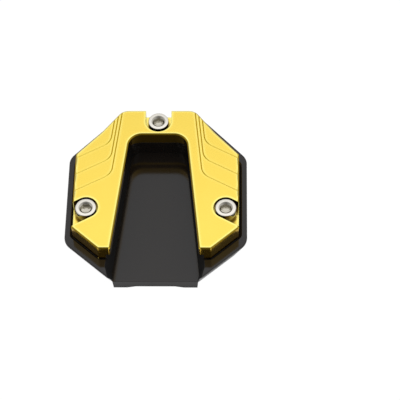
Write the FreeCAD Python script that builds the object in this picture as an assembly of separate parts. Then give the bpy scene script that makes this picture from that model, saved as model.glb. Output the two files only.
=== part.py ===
import FreeCAD, Part
import math
import os

# Driving dimensions, in millimetres.
# The origin is the centre of the base plate's outline, at its underside; +Y is the closed rear.

# Base plate outline
BASE_WIDTH = 74.8
BASE_DEPTH = 80.1
BASE_REAR_FLAT = 34.9
BASE_MOUTH_FLAT = 38.4
BASE_SIDE_REAR_Y = 18.4
BASE_SIDE_FRONT_Y = -23.9
BASE_CORNER_RADIUS = 6.5
BASE_MOUTH_CORNER_RADIUS = 0.6

# Base plate heights
FLOOR_THICKNESS = 4.5
TROUGH_DEPTH = 7.3
BRIM_THICKNESS = 1.0
BRIM_EDGE_BREAK = 0.3
HULL_INSET = 4.6
HULL_CORNER_RADIUS = 3.0

# Trough for the stand's foot
MOUTH_LAND = 0.1
MOUTH_FLARE_LENGTH = 5.05
TROUGH_WALL_RUN = 2.4
TROUGH_WALL_THICKNESS = 0.8
TROUGH_REAR_CORNER_RADIUS = 7.0
TROUGH_FLARE_RADIUS = 4.0
TONGUE_WIDTH = 34.3
TONGUE_SETBACK = 2.0

# Shallow channel under the base plate
CHANNEL_WIDTH = 24.0
CHANNEL_DEPTH = 1.0
CHANNEL_SLOPE_RUN = 4.0

# Seat groove round the clamp plate
SEAT_GROOVE_SIDE_GAP = 1.25
SEAT_GROOVE_END_GAP = 0.6
SEAT_GROOVE_UNDERCUT = 0.3
SEAT_GROOVE_DEPTH = 1.0
SEAT_GROOVE_RADIUS = 3.0

# Clamp plate outline, measured in from the base plate
CLAMP_THICKNESS = 7.6
SIDE_RIM = 3.35
REAR_RIM = 1.8
CLAMP_REAR_FLAT = 30.5
CLAMP_SIDE_REAR_STEP = 3.0
CLAMP_SHOULDER_RUN = 10.25
CLAMP_SHOULDER_RISE = 11.5
CLAMP_REAR_RADIUS = 5.0
CLAMP_SIDE_REAR_RADIUS = 2.5
CLAMP_POINT_RADIUS = 0.8
CLAMP_SIDE_FRONT_STEP = 2.75
CLAMP_TIP_SETBACK = 8.7
CLAMP_TIP_OUTER_WIDTH = 45.6
CLAMP_EDGE_CHAMFER = 0.6

# Opening of the clamp plate
OPENING_TIP_WIDTH = 35.8
OPENING_REAR_WIDTH = 23.7
OPENING_REAR_INSET = 12.65
OPENING_CORNER_RADIUS = 5.7
LIP_THICKNESS = 4.9
LIP_SIDE_OVERHANG = 2.0
LIP_REAR_OVERHANG = 1.0

# V-grooves in the top of the clamp plate
GROOVE_COUNT = 3
GROOVE_WIDTH = 0.5
GROOVE_DEPTH = 0.25
GROOVE_INNER_OFFSET = 4.84
GROOVE_RUN_PITCH = 1.345
GROOVE_SIDE_START = 2.2
GROOVE_SIDE_PITCH = 8.3
GROOVE_FALL_DEG = 29.5
GROOVE_BEND_RADIUS = 6.0
GROOVE_OVERRUN = 4.0

# Socket-head cap screws
SCREW_REAR_INSET = 5.8
SCREW_SIDE_INSET = 5.4
SCREW_SIDE_Y = -11.5
SCREW_DIAMETER = 5.0
SCREW_LENGTH = 12.0
SCREW_END_CHAMFER = 0.6
HEAD_DIAMETER = 8.5
HEAD_HEIGHT = 5.0
HEAD_EDGE_RADIUS = 0.3
SOCKET_ACROSS_FLATS = 4.0
SOCKET_DEPTH = 2.6
SOCKET_MOUTH_DIAMETER = 5.8
TAPPED_CLEARANCE = 0.1
PASS_CLEARANCE = 0.5

# Slots that sink the screw heads
SLOT_REAR_WIDTH = 10.8
SLOT_SIDE_WIDTH = 10.0
SLOT_SPACING_DEG = 120.0
SLOT_OVERRUN = 12.0

# Heights and half widths worked out from the driving dimensions
SEAT_Z = FLOOR_THICKNESS + TROUGH_DEPTH
TOP_Z = SEAT_Z + CLAMP_THICKNESS
BRIM_Z = SEAT_Z - BRIM_THICKNESS
HEAD_SEAT_Z = TOP_Z - HEAD_HEIGHT
LIP_Z = TOP_Z - LIP_THICKNESS
FRONT_Y = -BASE_DEPTH / 2
REAR_Y = BASE_DEPTH / 2
CLAMP_SIDE_X = BASE_WIDTH / 2 - SIDE_RIM
CLAMP_REAR_Y = REAR_Y - REAR_RIM
CLAMP_TIP_Y = FRONT_Y + CLAMP_TIP_SETBACK
CLAMP_SIDE_REAR_Y = BASE_SIDE_REAR_Y - CLAMP_SIDE_REAR_STEP
CLAMP_SIDE_FRONT_Y = BASE_SIDE_FRONT_Y + CLAMP_SIDE_FRONT_STEP
OPENING_REAR_Y = CLAMP_REAR_Y - OPENING_REAR_INSET
MOUTH_X = BASE_MOUTH_FLAT / 2 - MOUTH_LAND
CUT_MARGIN = 5.0
SAME_HEIGHT = 1e-4
FULL_TURN_DEG = 360.0
SOCKET_SIDES = 6
REAR_DEG = 90.0

UP = FreeCAD.Vector(0, 0, 1)


def vector(x, y, z=0.0):
    return FreeCAD.Vector(x, y, z)


def mirrored(right_half):
    """Close an outline from its right half, listed from the front to the rear."""
    left_half = [(-x, y) for x, y in reversed(right_half)]
    return right_half + left_half


def inset_outline(points, distances):
    """Move each side of a counter-clockwise outline inwards by its own distance."""
    count = len(points)
    sides = []
    for index in range(count):
        x0, y0 = points[index]
        x1, y1 = points[(index + 1) % count]
        distance = distances[index]
        length = math.hypot(x1 - x0, y1 - y0)
        along = ((x1 - x0) / length, (y1 - y0) / length)
        sides.append((x0 - along[1] * distance, y0 + along[0] * distance, along[0], along[1]))
    moved = []
    for index in range(count):
        px, py, pdx, pdy = sides[index - 1]
        qx, qy, qdx, qdy = sides[index]
        cross = pdx * qdy - pdy * qdx
        reach = ((qx - px) * qdy - (qy - py) * qdx) / cross
        moved.append((px + pdx * reach, py + pdy * reach))
    return moved


def corner_arc(before, corner, after, radius, z):
    """Return the arc that rounds one corner, with its two tangent points."""
    tip = vector(corner[0], corner[1], z)
    back = (vector(before[0], before[1], z) - tip).normalize()
    ahead = (vector(after[0], after[1], z) - tip).normalize()
    half_angle = back.getAngle(ahead) / 2
    reach = radius / math.tan(half_angle)
    start = tip + back * reach
    end = tip + ahead * reach
    bisector = (back + ahead).normalize()
    middle = tip + bisector * (radius / math.sin(half_angle) - radius)
    return start, middle, end


def outline_wire(points, radii, z):
    """Draw a closed outline at a height, rounding each corner that has a radius."""
    count = len(points)
    corners = []
    for index in range(count):
        if radii[index] > 0:
            following = points[(index + 1) % count]
            corners.append(corner_arc(points[index - 1], points[index], following, radii[index], z))
        else:
            tip = vector(points[index][0], points[index][1], z)
            corners.append((tip, None, tip))
    edges = []
    for index in range(count):
        start, middle, end = corners[index]
        if middle is not None:
            edges.append(Part.Arc(start, middle, end).toShape())
        following = corners[(index + 1) % count][0]
        edges.append(Part.makeLine(end, following))
    return Part.Wire(edges)


def prism(points, radii, z_low, z_high):
    """Extrude a closed outline between two heights."""
    face = Part.Face(outline_wire(points, radii, z_low))
    return face.extrude(UP * (z_high - z_low))


def edges_at_height(shape, z):
    """Edges of a shape that lie flat at one height."""
    found = []
    for edge in shape.Edges:
        box = edge.BoundBox
        if abs(box.ZMin - z) + abs(box.ZMax - z) < SAME_HEIGHT:
            found.append(edge)
    return found


def section_bar(section, y_start, y_end):
    """Extrude an outline of the XZ plane along Y."""
    corners = [vector(x, y_start, z) for x, z in section]
    face = Part.Face(Part.makePolygon(corners + corners[:1]))
    return face.extrude(vector(0, y_end - y_start, 0))


def base_outline():
    """Eight-sided outline of the base plate."""
    half = BASE_WIDTH / 2
    return mirrored([
        (BASE_MOUTH_FLAT / 2, FRONT_Y),
        (half, BASE_SIDE_FRONT_Y),
        (half, BASE_SIDE_REAR_Y),
        (BASE_REAR_FLAT / 2, REAR_Y),
    ])


def mirrored_radii(right_half):
    """Corner radii of a whole outline from those of its right half."""
    return right_half + list(reversed(right_half))


def clamp_outer_outline():
    """Outer edge of the clamp plate; each rear corner cut bends slightly at a shoulder."""
    return mirrored([
        (CLAMP_TIP_OUTER_WIDTH / 2, CLAMP_TIP_Y),
        (CLAMP_SIDE_X, CLAMP_SIDE_FRONT_Y),
        (CLAMP_SIDE_X, CLAMP_SIDE_REAR_Y),
        (CLAMP_SIDE_X - CLAMP_SHOULDER_RUN, CLAMP_SIDE_REAR_Y + CLAMP_SHOULDER_RISE),
        (CLAMP_REAR_FLAT / 2, CLAMP_REAR_Y),
    ])


def clamp_outer_radii(point, side_rear, rear):
    """Corner radii of the clamp plate's outer edge; its shoulders stay sharp."""
    return mirrored_radii([point, point, side_rear, 0.0, rear])


def opening_half_width(y):
    """Half width of the clamp plate's opening, which narrows towards the rear."""
    share = (y - CLAMP_TIP_Y) / (OPENING_REAR_Y - CLAMP_TIP_Y)
    return (OPENING_TIP_WIDTH + (OPENING_REAR_WIDTH - OPENING_TIP_WIDTH) * share) / 2


def trough_outline():
    """Top edge of the trough; it narrows at the mouth and runs out past the front."""
    rear_y = OPENING_REAR_Y + LIP_REAR_OVERHANG
    flare_y = FRONT_Y + MOUTH_FLARE_LENGTH
    return mirrored([
        (MOUTH_X, FRONT_Y - CUT_MARGIN),
        (MOUTH_X, FRONT_Y),
        (opening_half_width(flare_y) + LIP_SIDE_OVERHANG, flare_y),
        (opening_half_width(rear_y) + LIP_SIDE_OVERHANG, rear_y),
    ])


def trough_radii(rear_radius):
    return mirrored_radii([0.0, 0.0, TROUGH_FLARE_RADIUS, rear_radius])


def screw_places():
    """Centre of each screw with the direction in which its slot opens and the slot's width."""
    side_x = CLAMP_SIDE_X - SCREW_SIDE_INSET
    rear = ((0.0, CLAMP_REAR_Y - SCREW_REAR_INSET), REAR_DEG, SLOT_REAR_WIDTH)
    left = ((-side_x, SCREW_SIDE_Y), REAR_DEG + SLOT_SPACING_DEG, SLOT_SIDE_WIDTH)
    right = ((side_x, SCREW_SIDE_Y), REAR_DEG - SLOT_SPACING_DEG, SLOT_SIDE_WIDTH)
    return [rear, left, right]


def trough_cut():
    """Solid that leaves the trough, with sloped side walls and an upright rear wall."""
    top = trough_outline()
    right_runs = [TROUGH_WALL_RUN] * (len(top) // 2 - 1)
    runs = right_runs + [0.0] + right_runs + [0.0]
    floor = inset_outline(top, runs)
    floor_rear_radius = TROUGH_REAR_CORNER_RADIUS - TROUGH_WALL_RUN
    low_wire = outline_wire(floor, trough_radii(floor_rear_radius), FLOOR_THICKNESS)
    high_wire = outline_wire(top, trough_radii(TROUGH_REAR_CORNER_RADIUS), SEAT_Z)
    return Part.makeLoft([low_wire, high_wire], True, True)


def tongue():
    """Front end of the trough, upright down to the ground, with walls that follow the trough."""
    slope = TROUGH_WALL_RUN / TROUGH_DEPTH
    floor_half = MOUTH_X - TROUGH_WALL_RUN + TROUGH_WALL_THICKNESS
    brim_half = floor_half + slope * (BRIM_Z - FLOOR_THICKNESS)
    right = [(TONGUE_WIDTH / 2, 0.0), (floor_half, FLOOR_THICKNESS), (brim_half, BRIM_Z)]
    return section_bar(mirrored(right), FRONT_Y + TONGUE_SETBACK, 0.0)


def underside_channel():
    """Shallow channel with sloped sides that runs under the plate from front to rear."""
    low_half = CHANNEL_WIDTH / 2
    high_half = low_half - CHANNEL_SLOPE_RUN
    margin_half = low_half + CHANNEL_SLOPE_RUN
    right = [(margin_half, -CHANNEL_DEPTH), (high_half, CHANNEL_DEPTH)]
    return section_bar(mirrored(right), FRONT_Y - CUT_MARGIN, REAR_Y + CUT_MARGIN)


def seat_groove():
    """Groove in the brim round the clamp plate's foot; its outer side slopes down to the foot."""
    foot = clamp_outer_outline()
    end = -SEAT_GROOVE_END_GAP
    side = -SEAT_GROOVE_SIDE_GAP
    right_gaps = [end, side, side, side]
    gaps = right_gaps + [end] + list(reversed(right_gaps)) + [end]
    outer = inset_outline(foot, gaps)
    inner = inset_outline(foot, [SEAT_GROOVE_UNDERCUT] * len(foot))
    outer_radii = clamp_outer_radii(SEAT_GROOVE_RADIUS, SEAT_GROOVE_RADIUS, CLAMP_REAR_RADIUS)
    inner_radii = clamp_outer_radii(CLAMP_POINT_RADIUS, CLAMP_SIDE_REAR_RADIUS, CLAMP_REAR_RADIUS)
    low = SEAT_Z - SEAT_GROOVE_DEPTH
    slope_foot = outline_wire(foot, outer_radii, low)
    slope_top = outline_wire(outer, outer_radii, SEAT_Z)
    sloped = Part.makeLoft([slope_foot, slope_top], True, True)
    return sloped.cut(prism(inner, inner_radii, low, SEAT_Z))


def base_plate():
    """Brim on a tapered hull, with the trough, channel, seat groove and tapped holes cut out."""
    outline = base_outline()
    side = BASE_CORNER_RADIUS
    radii = mirrored_radii([BASE_MOUTH_CORNER_RADIUS, side, side, side])
    brim = prism(outline, radii, BRIM_Z, SEAT_Z)
    brim = brim.makeChamfer(BRIM_EDGE_BREAK, edges_at_height(brim, SEAT_Z))
    hull_side = HULL_CORNER_RADIUS
    hull_radii = mirrored_radii([BASE_MOUTH_CORNER_RADIUS, hull_side, hull_side, hull_side])
    hull_outline = inset_outline(outline, [HULL_INSET] * len(outline))
    hull_low = outline_wire(hull_outline, hull_radii, 0.0)
    hull_high = outline_wire(outline, radii, BRIM_Z)
    hull = Part.makeLoft([hull_low, hull_high], True, True)
    plate = hull.fuse([brim, tongue()]).removeSplitter()
    plate = plate.cut([trough_cut(), underside_channel(), seat_groove()])
    for (x, y), _, _ in screw_places():
        radius = (SCREW_DIAMETER + TAPPED_CLEARANCE) / 2
        plate = plate.cut(Part.makeCylinder(radius, SEAT_Z, vector(x, y, 0.0)))
    return plate


def head_slot(centre, direction_deg, width):
    """Slot with a round end at the screw, open at the clamp plate's edge."""
    angle = math.radians(direction_deg)
    along = vector(math.cos(angle), math.sin(angle))
    across = vector(-along.y, along.x) * (width / 2)
    middle = vector(centre[0], centre[1], HEAD_SEAT_Z)
    far = middle + along * SLOT_OVERRUN
    back = middle - along * (width / 2)
    edges = [
        Part.Arc(middle + across, back, middle - across).toShape(),
        Part.makeLine(middle - across, far - across),
        Part.makeLine(far - across, far + across),
        Part.makeLine(far + across, middle + across),
    ]
    return Part.Face(Part.Wire(edges)).extrude(UP * (HEAD_HEIGHT + CUT_MARGIN))


def groove_path(index, side):
    """Line, bend and line of one V-groove; side is 1 on the right and -1 on the left."""
    offset = GROOVE_INNER_OFFSET + GROOVE_RUN_PITCH * index
    exit_y = CLAMP_SIDE_REAR_Y - GROOVE_SIDE_START - GROOVE_SIDE_PITCH * (GROOVE_COUNT - 1 - index)
    fall = math.tan(math.radians(GROOVE_FALL_DEG))
    taper = (OPENING_REAR_WIDTH - OPENING_TIP_WIDTH) / 2 / (OPENING_REAR_Y - CLAMP_TIP_Y)
    start_y = CLAMP_REAR_Y + GROOVE_OVERRUN
    start_x = opening_half_width(start_y) + offset
    # The first run is x = start_x + taper * (y - start_y) and the second falls to the side at exit_y.
    bend_y = (exit_y + fall * (CLAMP_SIDE_X - start_x + taper * start_y)) / (1 + fall * taper)
    bend_x = start_x + taper * (bend_y - start_y)
    end_x = CLAMP_SIDE_X + GROOVE_OVERRUN
    end_y = exit_y - fall * GROOVE_OVERRUN
    start = (side * start_x, start_y)
    bend = (side * bend_x, bend_y)
    end = (side * end_x, end_y)
    arc_start, arc_middle, arc_end = corner_arc(start, bend, end, GROOVE_BEND_RADIUS, TOP_Z)
    return Part.Wire([
        Part.makeLine(vector(start[0], start[1], TOP_Z), arc_start),
        Part.Arc(arc_start, arc_middle, arc_end).toShape(),
        Part.makeLine(arc_end, vector(end[0], end[1], TOP_Z)),
    ])


def groove_cut(index, side):
    """V-shaped bar along a groove's path."""
    path = groove_path(index, side)
    first = path.OrderedVertexes[0].Point
    second = path.OrderedVertexes[1].Point
    along = (second - first).normalize()
    across = vector(-along.y, along.x) * GROOVE_WIDTH
    corners = [
        first - UP * GROOVE_DEPTH,
        first + across + UP * GROOVE_DEPTH,
        first - across + UP * GROOVE_DEPTH,
    ]
    return path.makePipeShell([Part.makePolygon(corners + corners[:1])], True, True)


def clamp_plate():
    """U-shaped plate with chamfered top edges, a rebate that leaves the lip, slots and grooves."""
    outer = clamp_outer_outline()
    tip_half = OPENING_TIP_WIDTH / 2
    rear_half = OPENING_REAR_WIDTH / 2
    opening = [
        (-tip_half, CLAMP_TIP_Y),
        (-rear_half, OPENING_REAR_Y),
        (rear_half, OPENING_REAR_Y),
        (tip_half, CLAMP_TIP_Y),
    ]
    outline = outer + opening
    radii = clamp_outer_radii(CLAMP_POINT_RADIUS, CLAMP_SIDE_REAR_RADIUS, CLAMP_REAR_RADIUS)
    radii = radii + mirrored_radii([CLAMP_POINT_RADIUS, OPENING_CORNER_RADIUS])
    plate = prism(outline, radii, SEAT_Z, TOP_Z)
    plate = plate.makeChamfer(CLAMP_EDGE_CHAMFER, edges_at_height(plate, TOP_Z))
    plate = plate.cut(prism(trough_outline(), trough_radii(TROUGH_REAR_CORNER_RADIUS), SEAT_Z, LIP_Z))
    for centre, direction, width in screw_places():
        radius = (SCREW_DIAMETER + PASS_CLEARANCE) / 2
        hole = Part.makeCylinder(radius, CLAMP_THICKNESS, vector(centre[0], centre[1], SEAT_Z))
        plate = plate.cut([head_slot(centre, direction, width), hole])
    for index in range(GROOVE_COUNT):
        plate = plate.cut([groove_cut(index, 1), groove_cut(index, -1)])
    return plate


def cap_screw():
    """Socket-head cap screw on the Z axis with the underside of its head at zero."""
    head_radius = HEAD_DIAMETER / 2
    shank_radius = SCREW_DIAMETER / 2
    edge = HEAD_EDGE_RADIUS
    arc_bend = edge * (1 - math.cos(math.pi / 4))
    rim_low = vector(head_radius, 0, HEAD_HEIGHT - edge)
    rim_high = vector(head_radius - edge, 0, HEAD_HEIGHT)
    rim_middle = vector(head_radius - arc_bend, 0, HEAD_HEIGHT - arc_bend)
    shank_end = -SCREW_LENGTH
    sides = Part.makePolygon([
        rim_high,
        vector(0, 0, HEAD_HEIGHT),
        vector(0, 0, shank_end),
        vector(shank_radius - SCREW_END_CHAMFER, 0, shank_end),
        vector(shank_radius, 0, shank_end + SCREW_END_CHAMFER),
        vector(shank_radius, 0, 0),
        vector(head_radius, 0, 0),
        rim_low,
    ])
    rim = Part.Arc(rim_low, rim_middle, rim_high).toShape()
    outline = Part.Wire(sides.Edges + [rim])
    body = Part.Face(outline).revolve(vector(0, 0, 0), UP, FULL_TURN_DEG)
    corner_radius = SOCKET_ACROSS_FLATS / 2 / math.cos(math.pi / SOCKET_SIDES)
    socket_low = HEAD_HEIGHT - SOCKET_DEPTH
    turns = [2 * math.pi * index / SOCKET_SIDES for index in range(SOCKET_SIDES)]
    corners = []
    for turn in turns:
        corners.append(vector(corner_radius * math.cos(turn), corner_radius * math.sin(turn), socket_low))
    socket = Part.Face(Part.makePolygon(corners + corners[:1])).extrude(UP * (SOCKET_DEPTH + CUT_MARGIN))
    mouth_radius = SOCKET_MOUTH_DIAMETER / 2
    mouth = Part.makeCone(0, mouth_radius, mouth_radius, vector(0, 0, HEAD_HEIGHT - mouth_radius))
    return body.cut([socket, mouth])


def clamp_screws():
    """The three screws, each turned so that a corner of its socket faces its slot's opening."""
    screws = []
    for (x, y), direction, _ in screw_places():
        screw = cap_screw()
        screw.rotate(vector(0, 0, 0), UP, direction)
        screw.translate(vector(x, y, HEAD_SEAT_Z))
        screws.append(screw)
    return Part.makeCompound(screws)


os.makedirs("parts", exist_ok=True)
PIECES = {
    "base_plate": base_plate,
    "clamp_plate": clamp_plate,
    "clamp_screws": clamp_screws,
}
for name, make in PIECES.items():
    shape = make()
    shape.exportStep("parts/" + name + ".step")
    print(name, "solids", len(shape.Solids), "valid", shape.isValid(), "volume", round(shape.Volume, 1))
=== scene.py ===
import logging
import math
from dataclasses import dataclass, field
from enum import Enum
from typing import Any

import bmesh
import bpy
from mathutils import Matrix, Vector


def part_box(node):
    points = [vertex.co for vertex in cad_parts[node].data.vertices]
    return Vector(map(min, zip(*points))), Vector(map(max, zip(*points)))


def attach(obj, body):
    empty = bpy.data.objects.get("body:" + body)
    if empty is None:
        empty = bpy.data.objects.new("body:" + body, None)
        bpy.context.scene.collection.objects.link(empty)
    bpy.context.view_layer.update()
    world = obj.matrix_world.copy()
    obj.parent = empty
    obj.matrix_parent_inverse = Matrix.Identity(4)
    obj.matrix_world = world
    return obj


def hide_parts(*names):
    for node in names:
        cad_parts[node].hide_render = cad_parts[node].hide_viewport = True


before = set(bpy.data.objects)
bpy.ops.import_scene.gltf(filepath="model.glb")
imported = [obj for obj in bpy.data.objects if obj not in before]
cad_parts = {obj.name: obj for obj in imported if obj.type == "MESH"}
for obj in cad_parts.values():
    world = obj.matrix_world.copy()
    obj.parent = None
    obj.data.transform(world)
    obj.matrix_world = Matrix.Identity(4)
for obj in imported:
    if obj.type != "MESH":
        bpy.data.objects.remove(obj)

LOG = logging.getLogger("kickstand_pad")
ROOT_BODY = "root"
MM = 0.001
MERGE_DISTANCE = 0.001 * MM
FULL_TURN = 2.0 * math.pi
HEX_SIDES = 6
BASE_ROUND_M = 0.12 * MM
CLAMP_ROUND_M = 0.20 * MM
FAR_M = 1.0
NOISE_DETAIL = 2.0
NOISE_ROUGHNESS = 0.55
GRAIN_STRENGTH = 0.5
TURNED_MAP = "turned"
PAINTED_BRIGHTNESS = "painted_brightness"
HOLLOW = "hollow_shade"
SHALLOW = "shallow"
EDGE = "edge"
GROOVE = "groove"
UP = Vector((0.0, 0.0, 1.0))

Colour = tuple[float, float, float]
Span = tuple[float, float]
Socket = bpy.types.NodeSocket
WHOLE: Span = (0.0, 1.0)


class Slot(Enum):
    """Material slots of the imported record."""

    BLACK = "black_anodised"
    GOLD = "gold_anodised"
    STEEL = "screw_steel"


class Board:
    """Adds and joins the nodes of one shader, world or geometry tree."""

    def __init__(self, tree: bpy.types.NodeTree) -> None:
        """Start on an empty tree.

        Args:
            tree: The node tree that the board fills.
        """
        self.tree = tree
        self.tree.nodes.clear()

    def add(
        self, kind: str, inputs: dict[str, Any] | None = None, **settings: Any
    ) -> bpy.types.Node:
        """Add one node.

        Args:
            kind: The node's type name.
            inputs: Values for its unjoined sockets, by socket name.
            settings: Values for its own properties.

        Returns:
            The new node.
        """
        node = self.tree.nodes.new(kind)
        for name, value in settings.items():
            setattr(node, name, value)
        for name, value in (inputs or {}).items():
            node.inputs[name].default_value = value
        return node

    def join(self, start: Socket, end: Socket) -> None:
        """Join an output socket to an input socket."""
        self.tree.links.new(start, end)

    def give(self, value: Any, end: Socket) -> None:
        """Feed an input socket.

        Args:
            value: A socket to join, or a plain value to set.
            end: The input socket.
        """
        if isinstance(value, Socket):
            self.join(value, end)
        else:
            end.default_value = value

    def maths(self, operation: str, first: Any, second: Any) -> Socket:
        """Add a Math node.

        Args:
            operation: The Math node's operation.
            first: A socket or a number.
            second: A socket or a number.

        Returns:
            The node's output socket.
        """
        node = self.add("ShaderNodeMath", operation=operation)
        for index, value in enumerate((first, second)):
            self.give(value, node.inputs[index])
        return node.outputs[0]

    def spread(self, value: Any, low: Any, high: Any, span: Span = WHOLE) -> Socket:
        """Map a span of a value to a range.

        Args:
            value: A socket or a number.
            low: Result at the start of the span, a socket or a number.
            high: Result at the end of the span, a socket or a number.
            span: Values at the range's start and end.

        Returns:
            The mapped socket.
        """
        node = self.add("ShaderNodeMapRange", {"From Min": span[0], "From Max": span[1]})
        for name, given in (("Value", value), ("To Min", low), ("To Max", high)):
            self.give(given, node.inputs[name])
        return node.outputs["Result"]

    def share(self, value: Any, span: Span) -> Socket:
        """Map a span of a value to a share from 0 to 1."""
        return self.spread(value, *WHOLE, span)

    def upward(self, coordinates: bpy.types.Node) -> Socket:
        """Find how far a face looks up: 1 on a level face and 0 on an upright wall.

        Args:
            coordinates: The material's Texture Coordinate node.

        Returns:
            Socket with the height of the normal.
        """
        parts = self.add("ShaderNodeSeparateXYZ")
        self.join(coordinates.outputs["Normal"], parts.inputs[0])
        return parts.outputs["Z"]

    def attribute(self, name: str) -> Socket:
        """Read one of the piece's own face attributes."""
        return self.add("ShaderNodeAttribute", attribute_name=name).outputs["Fac"]

    def blend(self, share: Socket, low: Any, high: Any) -> Socket:
        """Mix two colours.

        Args:
            share: Socket that gives the second colour's share.
            low: Colour at 0, or a socket with one.
            high: Colour at 1, or a socket with one.

        Returns:
            The mixed colour's socket.
        """
        node = self.add("ShaderNodeMix", data_type="RGBA")
        sockets = [item for item in node.inputs if item.type == "RGBA"]
        for socket, colour in zip(sockets, (low, high)):
            self.give(colour if isinstance(colour, Socket) else (*colour, 1.0), socket)
        self.join(share, node.inputs[0])
        return next(item for item in node.outputs if item.type == "RGBA")

    def noise(self, place: Socket, size_m: float, detail: float = NOISE_DETAIL) -> Socket:
        """Add a noise with features of a real size.

        Args:
            place: Socket with coordinates in metres.
            size_m: Rough size of one feature.
            detail: Octaves of the noise.

        Returns:
            The noise's value.
        """
        node = self.add("ShaderNodeTexNoise", {
            "Scale": 1.0 / size_m,
            "Detail": detail,
            "Roughness": NOISE_ROUGHNESS,
        })
        self.join(place, node.inputs["Vector"])
        return node.outputs[0]

    def bump(self, height: Socket, depth_m: float) -> Socket:
        """Turn a height into a normal.

        Args:
            height: Socket with a 0 to 1 height.
            depth_m: Height of the bump in metres.

        Returns:
            The bumped normal.
        """
        node = self.add("ShaderNodeBump", {"Strength": GRAIN_STRENGTH, "Distance": depth_m})
        self.join(height, node.inputs["Height"])
        return node.outputs["Normal"]


def new_material(name: str) -> tuple[bpy.types.Material, Board, bpy.types.Node]:
    """Make a material with one Principled shader.

    Args:
        name: The material's name.

    Returns:
        The material, the board of its tree and the shader's node.
    """
    material = bpy.data.materials.new(name)
    material.use_nodes = True
    board = Board(material.node_tree)
    shader = board.add("ShaderNodeBsdfPrincipled")
    output = board.add("ShaderNodeOutputMaterial")
    board.join(shader.outputs[0], output.inputs["Surface"])
    return material, board, shader


@dataclass(frozen=True)
class BlackAnodised:
    """Satin black anodised aluminium with a fine even grain, duller on the trough's sloped walls,
    where its colour is also painted darker as painted shade.
    """

    dark: Colour = (0.0155, 0.0115, 0.0084)
    light: Colour = (0.0180, 0.0138, 0.0106)
    gloss_low: float = 0.10
    gloss_high: float = 0.14
    ior: float = 1.46
    gloss_tint: Colour = (0.94, 0.965, 1.0)
    dull_and_painted_shade: Colour = (0.0020, 0.0012, 0.0006)
    dull_gloss: float = 0.75
    dull_spans: tuple[Span, Span] = ((0.05, 0.15), (0.55, 0.45))
    cloud_m: float = 9.0 * MM
    grain_m: float = 0.16 * MM
    grain_depth_m: float = 0.0010 * MM

    def material(self) -> bpy.types.Material:
        """Build the finish on Object coordinates and on the tilt of the faces.

        Returns:
            The material.
        """
        material, board, shader = new_material("black_anodised")
        coordinates = board.add("ShaderNodeTexCoord")
        place = coordinates.outputs["Object"]
        cloud = board.noise(place, self.cloud_m)
        grain = board.noise(place, self.grain_m)
        upward = board.upward(coordinates)
        # Sloped faces such as the trough's walls get a rougher gloss and a darker colour, which is
        # painted shade.
        dull_and_painted_shade = board.maths("MULTIPLY", *(board.share(upward, span) for span in self.dull_spans))
        satin = board.blend(cloud, self.dark, self.light)
        board.join(board.blend(dull_and_painted_shade, satin, self.dull_and_painted_shade), shader.inputs["Base Color"])
        gloss = board.spread(cloud, self.gloss_low, self.gloss_high)
        board.join(board.spread(dull_and_painted_shade, gloss, self.dull_gloss), shader.inputs["Roughness"])
        shader.inputs["IOR"].default_value = self.ior
        shader.inputs["Specular Tint"].default_value = (*self.gloss_tint, 1.0)
        board.join(board.bump(grain, self.grain_depth_m), shader.inputs["Normal"])
        return material


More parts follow.
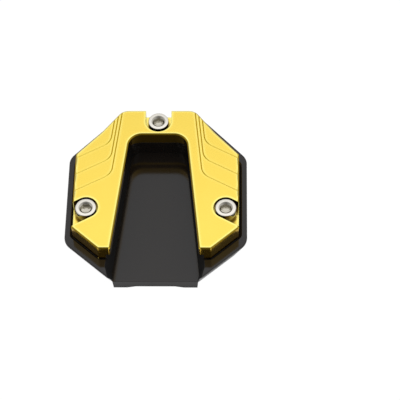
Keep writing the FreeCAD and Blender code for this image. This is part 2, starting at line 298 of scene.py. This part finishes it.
@dataclass(frozen=True)
class GoldAnodised:
    """Gold anodised aluminium with a fine matt grain.

    Its colour is painted darker on walls, chamfers, grooves and slots and round the screw heads as
    painted shade, and paler on and beside its edges as a painted highlight.
    """

    deep: Colour = (0.90, 0.655, 0.100)
    pale: Colour = (0.93, 0.705, 0.130)
    # Painted shade: darker colours for sloped faces, the grooves' slopes and upright walls, chosen
    # by the faces' tilt.
    slope: Colour = (0.42, 0.275, 0.015)
    engraved: Colour = (0.66, 0.50, 0.030)
    wall: Colour = (0.64, 0.39, 0.033)
    # Painted shade for the walls of the screws' slots and for the slot floors round the heads.
    hollow_shade: Colour = (0.16, 0.100, 0.010)
    crevice_shade: Colour = (0.26, 0.155, 0.015)
    # Colour of the painted highlight along the edges.
    edge_highlight: Colour = (1.0, 0.88, 0.25)
    seats: tuple[Vector, ...] = ()
    crevice_span_m: Span = (5.5 * MM, 4.7 * MM)
    slope_span: Span = (0.95, 0.80)
    wall_span: Span = (0.55, 0.20)
    level_span: Span = (0.97, 0.99)
    rim_span: Span = (0.10, 0.35)
    # Where the painted edge highlight reaches.
    edge_highlight_span: Span = (0.9995, 0.97)
    edge_highlight_reach_m: float = 1.8 * MM
    edge_highlight_samples: int = 8
    gloss_low: float = 0.13
    gloss_high: float = 0.19
    cloud_m: float = 12.0 * MM
    cloud_share: float = 0.6
    grain_m: float = 0.22 * MM
    grain_detail: float = 3.0
    grain_depth_m: float = 0.0022 * MM

    def crevice_share(self, board: Board, place: Socket) -> Socket:
        """Find the floor of the slots close round the screw heads, where shade is painted.

        Args:
            board: The material's board.
            place: Socket with the Object coordinates.

        Returns:
            A socket that is 1 at the heads and 0 a little way off.
        """
        nearest: Any = FAR_M
        for seat in self.seats:
            gap = board.add("ShaderNodeVectorMath", operation="DISTANCE")
            board.join(place, gap.inputs[0])
            gap.inputs[1].default_value = seat
            nearest = board.maths("MINIMUM", gap.outputs["Value"], nearest)
        return board.share(nearest, self.crevice_span_m)

    def edge_highlight_share(self, board: Board, upward: Socket) -> Socket:
        """Find the rim of the level faces, next to their edges, where a highlight is painted.

        Args:
            board: The material's board.
            upward: Socket that tells how far the face looks up.

        Returns:
            A socket that is 1 at an edge and 0 a little way off.
        """
        reach = {"Radius": self.edge_highlight_reach_m}
        across = board.add("ShaderNodeBevel", reach, samples=self.edge_highlight_samples)
        turn = board.add("ShaderNodeVectorMath", operation="DOT_PRODUCT")
        board.join(across.outputs["Normal"], turn.inputs[0])
        board.join(board.add("ShaderNodeNewGeometry").outputs["True Normal"], turn.inputs[1])
        near = board.share(turn.outputs["Value"], self.edge_highlight_span)
        return board.maths("MULTIPLY", near, board.share(upward, self.level_span))

    def material(self) -> bpy.types.Material:
        """Build the finish on Object coordinates and on the plate's own attributes.

        Returns:
            The material.
        """
        material, board, shader = new_material("gold_anodised")
        coordinates = board.add("ShaderNodeTexCoord")
        place = coordinates.outputs["Object"]
        upward = board.upward(coordinates)
        cloud = board.noise(place, self.cloud_m)
        grain = board.noise(place, self.grain_m, self.grain_detail)
        tone = board.maths(
            "ADD",
            board.spread(cloud, 0.0, self.cloud_share),
            board.spread(grain, 0.0, 1.0 - self.cloud_share),
        )
        # Painted shade: sloped faces, grooves and upright walls get darker colours by their tilt.
        slope = board.blend(board.attribute(GROOVE), self.slope, self.engraved)
        tint = board.blend(tone, self.deep, self.pale)
        tint = board.blend(board.share(upward, self.slope_span), tint, slope)
        tint = board.blend(board.share(upward, self.wall_span), tint, self.wall)
        # Painted shade round the screw heads and on the walls of their slots.
        tint = board.blend(self.crevice_share(board, place), tint, self.crevice_shade)
        tint = board.blend(board.attribute(HOLLOW), tint, self.hollow_shade)
        # Painted highlight on the edge rounds and beside the edges of level faces.
        rim = board.maths("MULTIPLY", board.attribute(EDGE), board.share(upward, self.rim_span))
        highlight = board.maths("MAXIMUM", rim, self.edge_highlight_share(board, upward))
        board.join(board.blend(highlight, tint, self.edge_highlight), shader.inputs["Base Color"])
        board.join(board.spread(grain, self.gloss_low, self.gloss_high), shader.inputs["Roughness"])
        shader.inputs["Metallic"].default_value = 1.0
        board.join(board.bump(grain, self.grain_depth_m), shader.inputs["Normal"])
        return material


@dataclass(frozen=True)
class TurnedSteel:
    """Bright steel with the fine rings that a lathe leaves, painted darker in the socket and on the
    head's side as painted shade.
    """

    dark: Colour = (0.70, 0.670, 0.605)
    light: Colour = (0.84, 0.808, 0.740)
    # Colour of the painted shade in the socket and on the head's side.
    dull_and_painted_shade: Colour = (0.210, 0.185, 0.100)
    gloss_low: float = 0.12
    gloss_high: float = 0.20
    streaks_round: float = 2.0
    rings_per_mm: float = 14.0
    ring_depth_m: float = 0.003 * MM

    def material(self) -> bpy.types.Material:
        """Build the finish on the screws' own UV map and on their attribute that paints shade into
        the socket and onto the head's side.

        Returns:
            The material.
        """
        material, board, shader = new_material("screw_steel")
        place = board.add("ShaderNodeUVMap", uv_map=TURNED_MAP).outputs["UV"]
        scale = (self.streaks_round, self.rings_per_mm, 1.0)
        stretch = board.add("ShaderNodeMapping", {"Scale": scale})
        board.join(place, stretch.inputs["Vector"])
        rings = board.noise(stretch.outputs["Vector"], size_m=1.0)
        turned = board.blend(rings, self.dark, self.light)
        # Painted shade: the darker colour is mixed in where the level is low.
        bright = board.attribute(PAINTED_BRIGHTNESS)
        board.join(board.blend(bright, self.dull_and_painted_shade, turned), shader.inputs["Base Color"])
        board.join(board.spread(rings, self.gloss_low, self.gloss_high), shader.inputs["Roughness"])
        shader.inputs["Metallic"].default_value = 1.0
        board.join(board.bump(rings, self.ring_depth_m), shader.inputs["Normal"])
        return material


@dataclass(frozen=True)
class StudioFloor:
    """Pale floor that reads white to the camera and keeps a soft shadow."""

    colour: Colour = (0.86, 0.86, 0.86)
    white_share: float = 0.93
    mirrored_share: float = 0.65
    shaded_share: float = 0.15
    shade_reach_m: tuple[float, float] = (45.0 * MM, 30.0 * MM)
    shade_span: Span = (1.3, 2.0)
    white_strength: float = 1.06

    def shaded(self, board: Board) -> Socket:
        """Share of white that the floor mirrors: little close beside the object, which paints the
        object's shadow into the floor's reflections, more further out.

        Args:
            board: The board of the floor's shader.

        Returns:
            Socket with the share.
        """
        place = board.add("ShaderNodeSeparateXYZ")
        board.join(board.add("ShaderNodeTexCoord").outputs["Object"], place.inputs[0])
        squares = []
        for axis, reach in zip("XY", self.shade_reach_m):
            scaled = board.maths("DIVIDE", place.outputs[axis], reach)
            squares.append(board.maths("MULTIPLY", scaled, scaled))
        away = board.maths("ADD", *squares)
        return board.spread(away, self.shaded_share, self.mirrored_share, self.shade_span)

    def material(self) -> bpy.types.Material:
        """Mix the lit floor with plain white for camera, glossy and transmission rays.

        Returns:
            The material.
        """
        material = bpy.data.materials.new("studio_floor")
        material.use_nodes = True
        board = Board(material.node_tree)
        lit = board.add("ShaderNodeBsdfDiffuse", {"Color": (*self.colour, 1.0)})
        white = board.add("ShaderNodeEmission", {"Strength": self.white_strength})
        path = board.add("ShaderNodeLightPath")
        rays = (path.outputs["Is Glossy Ray"], path.outputs["Is Transmission Ray"])
        mirrored = board.maths("MULTIPLY", board.maths("MAXIMUM", *rays), self.shaded(board))
        direct = board.maths("MULTIPLY", path.outputs["Is Camera Ray"], self.white_share)
        share = board.maths("MAXIMUM", direct, mirrored)
        mix = board.add("ShaderNodeMixShader")
        board.join(share, mix.inputs[0])
        board.join(lit.outputs[0], mix.inputs[1])
        board.join(white.outputs[0], mix.inputs[2])
        output = board.add("ShaderNodeOutputMaterial")
        board.join(mix.outputs[0], output.inputs["Surface"])
        return material


def show(piece: bpy.types.Object, slot: Slot, *nodes: str) -> None:
    """Hang a finished piece on the frame and report it.

    Args:
        piece: The finished object, at the origin.
        slot: The record's slot that its finish belongs to; not used.
        nodes: CAD nodes that the piece stands for.
    """
    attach(piece, ROOT_BODY)
    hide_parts(*nodes)
    LOG.info("%s: %d faces, stands for %s", piece.name, len(piece.data.polygons), ", ".join(nodes))


def baked(source: bpy.types.Object, name: str) -> bpy.types.Object:
    """Turn an object with modifiers into a plain one and remove the source.

    Args:
        source: The object whose evaluated shape is kept.
        name: Name of the plain object.

    Returns:
        The plain object, linked to the scene.
    """
    depsgraph = bpy.context.evaluated_depsgraph_get()
    mesh = bpy.data.meshes.new_from_object(source.evaluated_get(depsgraph))
    mesh.name = name
    bpy.data.objects.remove(source)
    piece = bpy.data.objects.new(name, mesh)
    bpy.context.scene.collection.objects.link(piece)
    return piece


@dataclass
class MachinedPlate:
    """A milled plate: the CAD node's shape with its sharp edges broken."""

    node: str
    name: str
    slot: Slot
    finish: BlackAnodised | GoldAnodised
    edge_round_m: float
    seats: tuple[Vector, ...] = ()
    seat_reach_m: float = 9.0 * MM
    shallow_lift: float = 0.56
    round_segments: int = 2
    flat_deg: float = 0.2
    sharp_deg: float = 28.0
    smooth_deg: float = 20.0
    level_normal: float = 0.99
    upright_normal: float = 0.2
    low_face_m: float = 0.4 * MM
    round_slot: int = 1

    def is_groove(self, face: bmesh.types.BMFace) -> bool:
        """Whether a face is one slope of an engraved groove: low and tilted.

        Args:
            face: A face of the plate.

        Returns:
            True for a groove's slope.
        """
        heights = [corner.co.z for corner in face.verts]
        low = max(heights) - min(heights) < self.low_face_m
        return low and abs(face.normal.z) < self.level_normal

    def is_hollow(self, face: bmesh.types.BMFace) -> bool:
        """Whether a face is part of an upright wall that faces a screw's seat close by.

        Args:
            face: A face of the plate.

        Returns:
            True for a wall of a screw's slot.
        """
        if abs(face.normal.z) > self.upright_normal:
            return False
        middle = face.calc_center_median().xy
        inward = [seat.xy - middle for seat in self.seats]
        return any(
            way.length < self.seat_reach_m and way.dot(face.normal.xy) > 0.0
            for way in inward
        )

    def shallowness(self, face: bmesh.types.BMFace) -> float:
        """How shallow a groove's slope looks: the grooves fade where they run across the plate.

        Args:
            face: A face of the plate.

        Returns:
            0 for any other face, up to 1 for a groove along X.
        """
        across = face.normal.xy
        if not self.is_groove(face) or across.length < self.upright_normal:
            return 0.0
        return (across.y / across.length) ** 2

    def is_broken(self, edge: bmesh.types.BMEdge) -> bool:
        """Whether an edge is rounded: an outward one at a level face or between upright ones.

        Args:
            edge: A sharp edge of the plate.

        Returns:
            True if the edge gets a round; a groove's edges stay sharp.
        """
        if not edge.is_convex or any(self.is_groove(face) for face in edge.link_faces):
            return False
        steepest = max(abs(face.normal.z) for face in edge.link_faces)
        return steepest > self.level_normal or steepest < self.upright_normal

    def merged_copy(self) -> bpy.types.Mesh:
        """Copy the node's loose triangles, weld them, join those in one plane and mark the edges.

        Returns:
            A mesh whose outward edges are marked for breaking and whose inward ones stay sharp.
        """
        shell = bmesh.new()
        shell.from_mesh(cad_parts[self.node].data)
        bmesh.ops.remove_doubles(shell, verts=shell.verts, dist=MERGE_DISTANCE)
        bmesh.ops.dissolve_limit(
            shell,
            angle_limit=math.radians(self.flat_deg),
            verts=shell.verts,
            edges=shell.edges,
        )
        shell.normal_update()
        broken = shell.edges.layers.float.new("bevel_weight_edge")
        hollow_shade = shell.faces.layers.float.new(HOLLOW)
        groove = shell.faces.layers.float.new(GROOVE)
        shallow = shell.faces.layers.float.new(SHALLOW)
        # The hollow attribute marks the walls of the screws' slots, which the gold finish darkens
        # as painted shade.
        for face in shell.faces:
            face.smooth = True
            face[hollow_shade] = 1.0 if self.is_hollow(face) else 0.0
            face[groove] = 1.0 if self.is_groove(face) else 0.0
            face[shallow] = self.shallowness(face)
        for edge in shell.edges:
            if edge.calc_face_angle(0.0) > math.radians(self.sharp_deg):
                edge.smooth = self.is_broken(edge)
                edge[broken] = 1.0 if edge.smooth else 0.0
        mesh = bpy.data.meshes.new(self.name)
        shell.to_mesh(mesh)
        shell.free()
        return mesh

    def build(self) -> bpy.types.Object:
        """Break the edges, dress the plate and hang it on the frame.

        Returns:
            The finished piece.
        """
        rough = bpy.data.objects.new(self.name + "_rough", self.merged_copy())
        bpy.context.scene.collection.objects.link(rough)
        bevel = rough.modifiers.new("broken_edges", "BEVEL")
        bevel.width = self.edge_round_m
        bevel.segments = self.round_segments
        bevel.limit_method = "WEIGHT"
        bevel.use_clamp_overlap = False
        bevel.miter_outer = "MITER_ARC"
        bevel.material = self.round_slot
        finish = self.finish.material()
        for _ in range(self.round_slot + 1):
            rough.data.materials.append(finish)
        piece = baked(rough, self.name)
        self.keep_faces_flat(piece.data)
        # The edge attribute marks the edge rounds, which the gold finish paints paler as a painted
        # highlight.
        edge = piece.data.attributes.new(EDGE, "FLOAT", "FACE").data
        for face in piece.data.polygons:
            edge[face.index].value = 1.0 if face.material_index == self.round_slot else 0.0
            face.material_index = 0
        piece.data.materials.pop()
        show(piece, self.slot, self.node)
        return piece

    def keep_faces_flat(self, mesh: bpy.types.Mesh) -> None:
        """Give each milled face its own normal and let the edge rounds turn from one to the next.

        Args:
            mesh: The plate's mesh, whose edge rounds are in their own material slot.
        """
        faces = mesh.polygons
        around: list[list[bpy.types.MeshPolygon]] = [[] for _ in mesh.vertices]
        for face in faces:
            for corner in face.vertices:
                around[corner].append(face)
        limit = math.cos(math.radians(self.smooth_deg))
        shallow = mesh.attributes[SHALLOW].data
        normals = [UP] * len(mesh.loops)
        for face in faces:
            is_round = face.material_index == self.round_slot
            lift = shallow[face.index].value * self.shallow_lift
            for loop, corner in zip(face.loop_indices, face.vertices):
                milled = [item for item in around[corner] if item.material_index != self.round_slot]
                if is_round:
                    sharing = milled or around[corner]
                else:
                    sharing = [item for item in milled if item.normal.dot(face.normal) > limit]
                normal = sum((item.normal for item in sharing), Vector()).normalized()
                normals[loop] = normal.lerp(UP, lift).normalized()
        mesh.normals_split_custom_set(normals)


@dataclass
class CapScrews:
    """The three socket-head cap screws, repeated from one turned screw."""

    node: str = "clamp_screws"
    name: str = "cap_screw_set"
    finish: TurnedSteel = field(default_factory=TurnedSteel)
    head_diameter_m: float = 8.5 * MM
    head_height_m: float = 5.0 * MM
    head_round_m: float = 0.3 * MM
    shank_diameter_m: float = 5.0 * MM
    end_chamfer_m: float = 0.6 * MM
    thread_pitch_m: float = 0.8 * MM
    thread_depth_m: float = 0.35 * MM
    socket_flats_m: float = 4.0 * MM
    socket_depth_m: float = 2.6 * MM
    mouth_diameter_m: float = 5.8 * MM
    drill_point_m: float = 0.35 * MM
    edge_break_m: float = 0.06 * MM
    spins_deg: tuple[float, float, float] = (0.0, 30.0, 0.0)
    # Levels of painted shade for the socket's wall, its mouth and floor and the head's side; 1
    # keeps the full turned colour.
    wall_bright: float = 0.45
    mouth_bright: float = 0.75
    floor_bright: float = 0.56
    side_bright: float = 0.20
    steps_round: int = 96
    round_steps: int = 5
    sharp_deg: float = 24.0

    def hex_reach(self, angle: float) -> float:
        """Reach of the socket's wall, with its corners at odd multiples of 30 degrees."""
        side = FULL_TURN / HEX_SIDES
        return self.socket_flats_m / 2.0 / math.cos((angle + side / 2.0) % side - side / 2.0)

    def outside(self, shank_end: float) -> list[tuple[float, float]]:
        """Turned outline from the socket's mouth to the tip.

        Args:
            shank_end: Height of the screw's tip, with the head's underside at zero.

        Returns:
            Pairs of radius and height.
        """
        top = self.head_height_m
        head = self.head_diameter_m / 2.0
        shank = self.shank_diameter_m / 2.0
        root = shank - self.thread_depth_m
        points = [(self.mouth_diameter_m / 2.0 + self.edge_break_m, top)]
        for step in range(self.round_steps + 1):
            turn = step / self.round_steps * math.pi / 2.0
            points.append((
                head - self.head_round_m * (1.0 - math.sin(turn)),
                top - self.head_round_m * (1.0 - math.cos(turn)),
            ))
        points.append((head, self.edge_break_m))
        points.append((head - self.edge_break_m, 0.0))
        points.append((shank, 0.0))
        height = -self.thread_pitch_m
        while height - self.thread_pitch_m > shank_end + self.end_chamfer_m:
            points.append((shank, height))
            points.append((root, height - self.thread_pitch_m / 2.0))
            height -= self.thread_pitch_m
        points.append((shank, height))
        points.append((shank, shank_end + self.end_chamfer_m))
        points.append((shank - self.end_chamfer_m, shank_end))
        return points

    def socket_rings(self, angle: float) -> list[tuple[float, float]]:
        """Inside of the head at one angle, from the socket's floor up to its mouth.

        Args:
            angle: Angle round the screw's axis.

        Returns:
            Pairs of radius and height.
        """
        top = self.head_height_m
        reach = self.hex_reach(angle)
        mouth = self.mouth_diameter_m / 2.0
        floor = top - self.socket_depth_m
        cone_foot = top - (mouth - reach)
        return [
            (reach, floor),
            (reach, cone_foot - self.edge_break_m),
            (reach + self.edge_break_m, cone_foot + self.edge_break_m),
            (mouth - self.edge_break_m, top - self.edge_break_m),
        ]

    def row_levels(self, rows: int) -> list[float]:
        """Brightness of each row of faces, from the socket's wall to the tip.

        Args:
            rows: Number of rows of faces.

        Returns:
            One level a row: 1 is the bright turned colour, lower levels mix in the darker colour as
                painted shade.
        """
        # Painted shade: the socket and all rows below the crown are darker than the crown.
        socket = [self.wall_bright, self.mouth_bright, self.mouth_bright, 1.0]
        crown = [1.0] * (self.round_steps + 1)
        return socket + crown + [self.side_bright] * (rows - len(socket) - len(crown))

    def turned_mesh(self, shank_end: float) -> bpy.types.Mesh:
        """Make one screw on the Z axis with the underside of its head at zero.

        Args:
            shank_end: Height of the screw's tip.

        Returns:
            A closed mesh with a UV map whose V runs along the outline in millimetres.
        """
        outside = self.outside(shank_end)
        shape = bmesh.new()
        columns = []
        for step in range(self.steps_round):
            angle = FULL_TURN * step / self.steps_round
            outline = self.socket_rings(angle) + outside
            columns.append([
                shape.verts.new((reach * math.cos(angle), reach * math.sin(angle), height))
                for reach, height in outline
            ])
        floor_height = self.head_height_m - self.socket_depth_m - self.drill_point_m
        floor_centre = shape.verts.new((0.0, 0.0, floor_height))
        tip_centre = shape.verts.new((0.0, 0.0, shank_end))
        lengths = [0.0]
        outline = self.socket_rings(0.0) + outside
        for (r0, z0), (r1, z1) in zip(outline, outline[1:]):
            lengths.append(lengths[-1] + math.hypot(r1 - r0, z1 - z0) / MM)
        layer = shape.loops.layers.uv.new(TURNED_MAP)
        bright = shape.faces.layers.float.new(PAINTED_BRIGHTNESS)
        levels = self.row_levels(len(outline) - 1)
        for step in range(self.steps_round):
            here = columns[step]
            ahead = columns[(step + 1) % self.steps_round]
            share = step / self.steps_round
            ahead_share = (step + 1) / self.steps_round
            for row in range(len(here) - 1):
                face = shape.faces.new((here[row], here[row + 1], ahead[row + 1], ahead[row]))
                places = (
                    (share, lengths[row]),
                    (share, lengths[row + 1]),
                    (ahead_share, lengths[row + 1]),
                    (ahead_share, lengths[row]),
                )
                for loop, place in zip(face.loops, places):
                    loop[layer].uv = place
                face[bright] = levels[row]
            shape.faces.new((floor_centre, here[0], ahead[0]))[bright] = self.floor_bright
            shape.faces.new((tip_centre, ahead[-1], here[-1]))[bright] = self.side_bright
        bmesh.ops.recalc_face_normals(shape, faces=shape.faces)
        for face in shape.faces:
            face.smooth = True
        for edge in shape.edges:
            edge.smooth = edge.calc_face_angle(0.0) < math.radians(self.sharp_deg)
        mesh = bpy.data.meshes.new("turned_screw")
        shape.to_mesh(mesh)
        shape.free()
        return mesh

    def pattern_tree(self) -> bpy.types.NodeTree:
        """Build the Geometry Nodes tree that sets a screw at the rear seat and at each side seat.

        Returns:
            The tree, with named inputs for the seats, the spins and the finish.
        """
        tree = bpy.data.node_groups.new("screw_pattern", "GeometryNodeTree")
        sockets = (
            ("Screw", "NodeSocketObject"),
            ("Rear Reach", "NodeSocketFloat"),
            ("Side Reach", "NodeSocketFloat"),
            ("Side Offset", "NodeSocketFloat"),
            ("Seat Height", "NodeSocketFloat"),
            ("Rear Spin", "NodeSocketFloat"),
            ("Left Spin", "NodeSocketFloat"),
            ("Right Spin", "NodeSocketFloat"),
            ("Finish", "NodeSocketMaterial"),
        )
        for name, kind in sockets:
            tree.interface.new_socket(name, in_out="INPUT", socket_type=kind)
        tree.interface.new_socket("Geometry", in_out="OUTPUT", socket_type="NodeSocketGeometry")
        board = Board(tree)
        given = board.add("NodeGroupInput").outputs
        left_reach = board.maths("MULTIPLY", given["Side Reach"], -1.0)
        places = (
            (0.0, given["Rear Reach"]),
            (left_reach, given["Side Offset"]),
            (given["Side Reach"], given["Side Offset"]),
        )
        spins = (given["Rear Spin"], given["Left Spin"], given["Right Spin"])
        index = board.add("GeometryNodeInputIndex").outputs[0]
        where = board.add("GeometryNodeIndexSwitch", data_type="VECTOR")
        turned = board.add("GeometryNodeIndexSwitch", data_type="VECTOR")
        for switch in (where, turned):
            switch.index_switch_items.new()
            board.join(index, switch.inputs["Index"])
        for number, ((across, along), spin) in enumerate(zip(places, spins), start=1):
            seat = board.add("ShaderNodeCombineXYZ")
            for end, value in zip(seat.inputs, (across, along, given["Seat Height"])):
                board.give(value, end)
            board.join(seat.outputs[0], where.inputs[number])
            angle = board.add("ShaderNodeCombineXYZ")
            board.join(spin, angle.inputs["Z"])
            board.join(angle.outputs[0], turned.inputs[number])
        points = board.add("GeometryNodePoints", {"Count": len(places)})
        board.join(where.outputs[0], points.inputs["Position"])
        screw = board.add("GeometryNodeObjectInfo")
        board.join(given["Screw"], screw.inputs["Object"])
        rotation = board.add("FunctionNodeEulerToRotation")
        board.join(turned.outputs[0], rotation.inputs[0])
        instances = board.add("GeometryNodeInstanceOnPoints")
        board.join(points.outputs[0], instances.inputs["Points"])
        board.join(screw.outputs["Geometry"], instances.inputs["Instance"])
        board.join(rotation.outputs[0], instances.inputs["Rotation"])
        realized = board.add("GeometryNodeRealizeInstances")
        board.join(instances.outputs[0], realized.inputs[0])
        dressed = board.add("GeometryNodeSetMaterial")
        board.join(realized.outputs[0], dressed.inputs["Geometry"])
        board.join(given["Finish"], dressed.inputs["Material"])
        board.join(dressed.outputs[0], board.add("NodeGroupOutput").inputs[0])
        return tree

    def seats(self) -> tuple[Vector, Vector, Vector]:
        """Find the places of the screws, at the underside of their heads.

        Returns:
            The rear, the left and the right place.
        """
        low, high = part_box(self.node)
        head = self.head_diameter_m / 2.0
        height = high.z - self.head_height_m
        rear = Vector((0.0, high.y - head, height))
        left = Vector((low.x + head, low.y + head, height))
        right = Vector((high.x - head, low.y + head, height))
        return rear, left, right

    def build(self) -> bpy.types.Object:
        """Turn one screw, set it at the three seats and hang the set on the frame.

        Returns:
            The finished piece.
        """
        low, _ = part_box(self.node)
        rear, _, right = self.seats()
        turned = bpy.data.objects.new("turned_screw", self.turned_mesh(low.z - rear.z))
        bpy.context.scene.collection.objects.link(turned)
        host = bpy.data.objects.new("screw_host", bpy.data.meshes.new("screw_host"))
        bpy.context.scene.collection.objects.link(host)
        tree = self.pattern_tree()
        modifier = host.modifiers.new("screw_pattern", "NODES")
        modifier.node_group = tree
        values = {
            "Screw": turned,
            "Rear Reach": rear.y,
            "Side Reach": right.x,
            "Side Offset": right.y,
            "Seat Height": rear.z,
            "Finish": self.finish.material(),
        }
        for side, spin in zip(("Rear", "Left", "Right"), self.spins_deg):
            values[side + " Spin"] = math.radians(spin)
        for item in tree.interface.items_tree:
            if item.in_out == "INPUT":
                modifier[item.identifier] = values[item.name]
        piece = baked(host, self.name)
        bpy.data.objects.remove(turned)
        show(piece, Slot.STEEL, self.node)
        return piece


@dataclass(frozen=True)
class PhotoCamera:
    """Camera that stands where the photograph was taken."""

    aim_m: tuple[float, float, float] = (18.104 * MM, -7.837 * MM, 19.4 * MM)
    elevation_deg: float = 55.985
    yaw_deg: float = 2.148
    roll_deg: float = -1.712
    distance_m: float = 684.82 * MM
    lens_mm: float = 150.48
    sensor_mm: float = 36.0
    clip_m: Span = (0.01, 50.0)

    def place(self) -> bpy.types.Object:
        """Make the camera and set it as the scene's own.

        Returns:
            The camera.
        """
        elevation = math.radians(self.elevation_deg)
        yaw = math.radians(self.yaw_deg)
        back = Vector((
            math.sin(yaw) * math.cos(elevation),
            -math.cos(yaw) * math.cos(elevation),
            math.sin(elevation),
        ))
        right = Vector((math.cos(yaw), math.sin(yaw), 0.0))
        level = Matrix((right, back.cross(right), back)).transposed()
        rolled = level @ Matrix.Rotation(math.radians(self.roll_deg), 3, "Z")
        data = bpy.data.cameras.new("photo_camera")
        data.lens = self.lens_mm
        data.sensor_width = self.sensor_mm
        data.clip_start, data.clip_end = self.clip_m
        camera = bpy.data.objects.new("photo_camera", data)
        eye = Vector(self.aim_m) + back * self.distance_m
        camera.matrix_world = Matrix.Translation(eye) @ rolled.to_4x4()
        bpy.context.scene.collection.objects.link(camera)
        bpy.context.scene.camera = camera
        return camera


@dataclass
class Studio:
    """Pale floor and a soft light tent, brightest overhead and towards the rear."""

    floor_half_m: float = 12.0
    floor: StudioFloor = field(default_factory=StudioFloor)
    tent: tuple[Span, ...] = (
        (0.0, 0.18),
        (0.20, 0.34),
        (0.41, 0.43),
        (0.56, 0.38),
        (0.61, 0.54),
        (0.74, 0.64),
        (0.80, 0.74),
        (0.86, 0.96),
        (0.93, 1.0),
        (1.0, 1.0),
    )
    side_lean: float = 0.15
    side_lift: float = 0.80
    rear_lean: float = 0.65
    least_lean: float = 0.45

    def lay_floor(self) -> bpy.types.Object:
        """Lay the floor at the object's lowest point.

        Returns:
            The floor.
        """
        half = self.floor_half_m
        mesh = bpy.data.meshes.new("studio_floor")
        corners = [(-half, -half, 0.0), (half, -half, 0.0), (half, half, 0.0), (-half, half, 0.0)]
        mesh.from_pydata(corners, [], [(0, 1, 2, 3)])
        mesh.materials.append(self.floor.material())
        floor = bpy.data.objects.new("studio_floor", mesh)
        bpy.context.scene.collection.objects.link(floor)
        return floor

    def hang_tent(self) -> bpy.types.World:
        """Light the scene by a white tent that is dim at the horizon and in front.

        Returns:
            The world that lights the scene.
        """
        world = bpy.data.worlds.new("light_tent")
        world.use_nodes = True
        board = Board(world.node_tree)
        direction = board.add("ShaderNodeTexCoord").outputs["Generated"]
        parts = board.add("ShaderNodeSeparateXYZ")
        board.join(direction, parts.inputs[0])
        ramp = board.add("ShaderNodeValToRGB")
        ramp.color_ramp.interpolation = "LINEAR"
        elements = ramp.color_ramp.elements
        while len(elements) < len(self.tent):
            elements.new(1.0)
        for element, (height, level) in zip(elements, self.tent):
            element.position = height
            element.color = (level, level, level, 1.0)
        board.join(parts.outputs["Z"], ramp.inputs[0])
        across = board.maths("MULTIPLY", parts.outputs["X"], self.side_lean)
        along = board.maths("MULTIPLY", parts.outputs["Y"], self.rear_lean)
        aside = board.maths("MULTIPLY", parts.outputs["X"], parts.outputs["X"])
        aside = board.spread(aside, 1.0, 1.0 + self.side_lift)
        lean = board.maths("ADD", board.maths("ADD", across, along), aside)
        strength = board.maths("MAXIMUM", lean, self.least_lean)
        background = board.add("ShaderNodeBackground")
        board.join(ramp.outputs[0], background.inputs["Color"])
        board.join(strength, background.inputs["Strength"])
        output = board.add("ShaderNodeOutputWorld")
        board.join(background.outputs[0], output.inputs["Surface"])
        bpy.context.scene.world = world
        return world


def main() -> None:
    """Build the pad's pieces, the studio and the camera."""
    logging.basicConfig(level=logging.INFO, format="%(name)s: %(message)s")
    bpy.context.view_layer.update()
    bpy.context.scene.view_settings.view_transform = "Standard"
    black = BlackAnodised()
    MachinedPlate("base_plate", "trough_base", Slot.BLACK, black, BASE_ROUND_M).build()
    screws = CapScrews()
    seats = screws.seats()
    gold = GoldAnodised(seats=seats)
    MachinedPlate("clamp_plate", "u_clamp", Slot.GOLD, gold, CLAMP_ROUND_M, seats).build()
    screws.build()
    studio = Studio()
    studio.lay_floor()
    studio.hang_tent()
    PhotoCamera().place()


if __name__ == "__main__":
    main()
